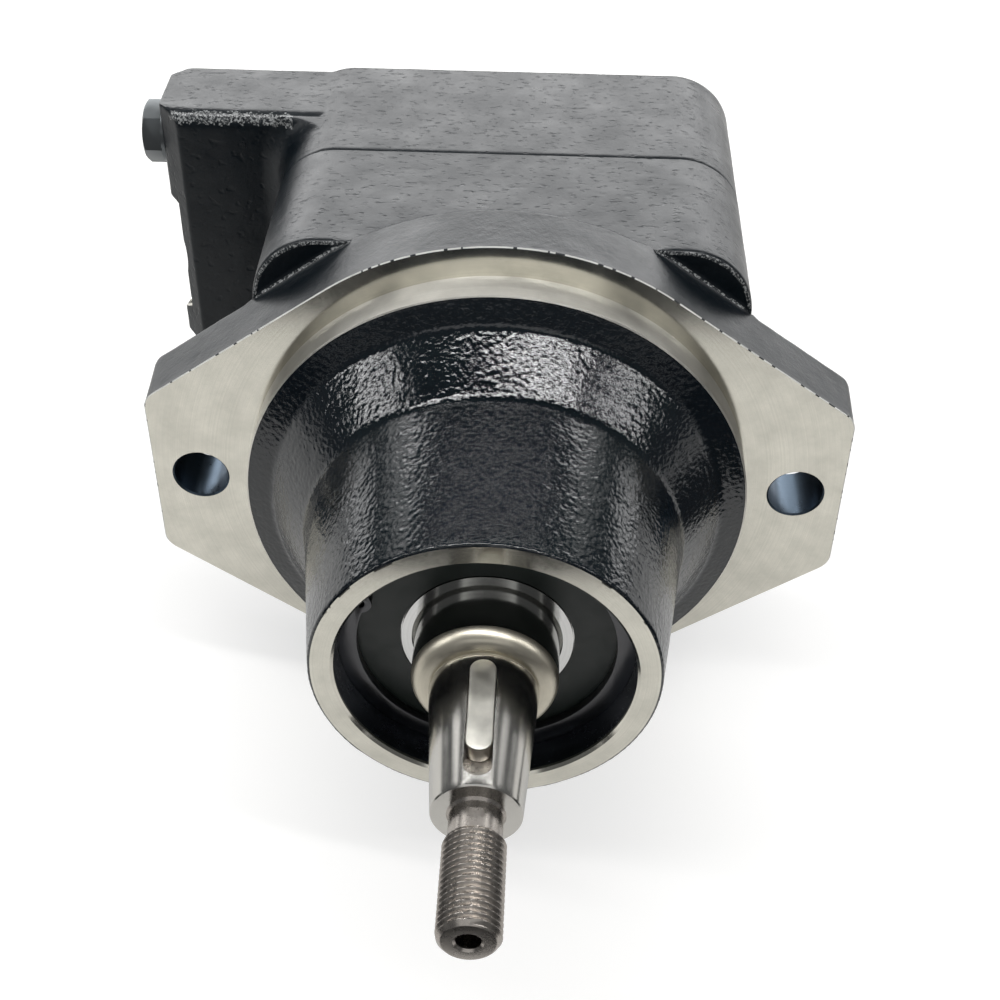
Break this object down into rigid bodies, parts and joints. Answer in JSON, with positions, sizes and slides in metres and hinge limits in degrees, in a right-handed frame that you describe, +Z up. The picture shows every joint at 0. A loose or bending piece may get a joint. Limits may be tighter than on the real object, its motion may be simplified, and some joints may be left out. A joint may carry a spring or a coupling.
{
  "type": "hydraulic motor",
  "caption": "Hydraulic vane motor with a square cast body, side port block, two-ear mounting flange, round pilot, long bell-shaped nose and a keyed tapered shaft with a threaded end.",
  "frame": {"origin": "on the shaft's axis, in the machined front face of the mounting flange", "axes": "+Y along the shaft's axis from the flange into the motor body, the shaft's tip at -Y; +X to the right seen from the shaft end, with the port block at -X; +Z up"},
  "size_m": [0.2011, 0.259, 0.1494],
  "materials": {
    "cast_painted": "black gloss paint over rough cast iron, with bare machined faces",
    "machined_steel": "turned and ground",
    "bearing_steel": "ground and polished",
    "dark_steel": "phosphated spring steel",
    "screw_steel": "blackened",
    "plated_steel": "zinc plated",
    "key_steel": "bright drawn bar, dull",
    "shield_rubber": "black-green moulded rubber",
    "seal_rubber": "moulded rubber",
    "cartridge_iron": "ground",
    "cage_plastic": "moulded polyamide"
  },
  "bodies": {
    "motor_body": {"housing": "cast_painted", "end_cap": "cast_painted", "cap_screws": "screw_steel", "drain_plug": "plated_steel", "plug_washer": "plated_steel", "front_plate": "cartridge_iron", "rear_plate": "cartridge_iron", "cam_ring": "cartridge_iron", "dowel_pins": "bearing_steel", "plate_disc_spring": "dark_steel", "front_bearing_outer_ring": "bearing_steel", "front_bearing_shields": "shield_rubber", "rear_bearing_outer_ring": "bearing_steel", "bearing_snap_ring": "dark_steel", "seal_snap_ring": "dark_steel", "shaft_seal": "seal_rubber", "seal_garter_spring": "plated_steel", "cap_seal_ring": "seal_rubber", "front_plate_seal_ring": "seal_rubber", "rear_plate_seal_ring": "seal_rubber"},
    "rotor_assembly": {"shaft": "machined_steel", "shaft_key": "key_steel", "rotor": "cartridge_iron", "vane_springs": "dark_steel", "front_bearing_inner_ring": "bearing_steel", "rear_bearing_inner_ring": "bearing_steel"},
    "front_ball_set": {"front_bearing_balls": "bearing_steel", "front_bearing_cage": "cage_plastic"},
    "rear_ball_set": {"rear_bearing_balls": "bearing_steel", "rear_bearing_cage": "cage_plastic"},
    "vane_01_body": {"vane_01": "bearing_steel"},
    "vane_02_body": {"vane_02": "bearing_steel"},
    "vane_03_body": {"vane_03": "bearing_steel"},
    "vane_04_body": {"vane_04": "bearing_steel"},
    "vane_05_body": {"vane_05": "bearing_steel"},
    "vane_06_body": {"vane_06": "bearing_steel"},
    "vane_07_body": {"vane_07": "bearing_steel"},
    "vane_08_body": {"vane_08": "bearing_steel"},
    "vane_09_body": {"vane_09": "bearing_steel"},
    "vane_10_body": {"vane_10": "bearing_steel"}
  },
  "joints": [
    {"name": "shaft_spin", "type": "hinge", "parent": "motor_body", "child": "rotor_assembly", "pos_m": [0, 0, 0], "axis": [0, 1, 0], "continuous": true},
    {"name": "front_balls_spin", "type": "hinge", "parent": "motor_body", "child": "front_ball_set", "pos_m": [0, 0, 0], "axis": [0, 1, 0], "continuous": true},
    {"name": "rear_balls_spin", "type": "hinge", "parent": "motor_body", "child": "rear_ball_set", "pos_m": [0, 0, 0], "axis": [0, 1, 0], "continuous": true},
    {"name": "vane_01_slide", "type": "slide", "parent": "rotor_assembly", "child": "vane_01_body", "axis": [1, 0, 0], "range_m": [-0.0008, 0]},
    {"name": "vane_02_slide", "type": "slide", "parent": "rotor_assembly", "child": "vane_02_body", "axis": [0.809, 0, 0.5878], "range_m": [-0.0008, 0.00072]},
    {"name": "vane_03_slide", "type": "slide", "parent": "rotor_assembly", "child": "vane_03_body", "axis": [0.309, 0, 0.9511], "range_m": [-0.0008, 0.00297]},
    {"name": "vane_04_slide", "type": "slide", "parent": "rotor_assembly", "child": "vane_04_body", "axis": [-0.309, 0, 0.9511], "range_m": [-0.0008, 0.00297]},
    {"name": "vane_05_slide", "type": "slide", "parent": "rotor_assembly", "child": "vane_05_body", "axis": [-0.809, 0, 0.5878], "range_m": [-0.0008, 0.00072]},
    {"name": "vane_06_slide", "type": "slide", "parent": "rotor_assembly", "child": "vane_06_body", "axis": [-1, 0, 0], "range_m": [-0.0008, 0]},
    {"name": "vane_07_slide", "type": "slide", "parent": "rotor_assembly", "child": "vane_07_body", "axis": [-0.809, 0, -0.5878], "range_m": [-0.0008, 0.00072]},
    {"name": "vane_08_slide", "type": "slide", "parent": "rotor_assembly", "child": "vane_08_body", "axis": [-0.309, 0, -0.9511], "range_m": [-0.0008, 0.00297]},
    {"name": "vane_09_slide", "type": "slide", "parent": "rotor_assembly", "child": "vane_09_body", "axis": [0.309, 0, -0.9511], "range_m": [-0.0008, 0.00297]},
    {"name": "vane_10_slide", "type": "slide", "parent": "rotor_assembly", "child": "vane_10_body", "axis": [0.809, 0, -0.5878], "range_m": [-0.0008, 0.00072]}
  ],
  "couplings": [
    {"joint": "front_balls_spin", "follows": "shaft_spin", "ratio": 0.39626},
    {"joint": "rear_balls_spin", "follows": "shaft_spin", "ratio": 0.38149}
  ]
}
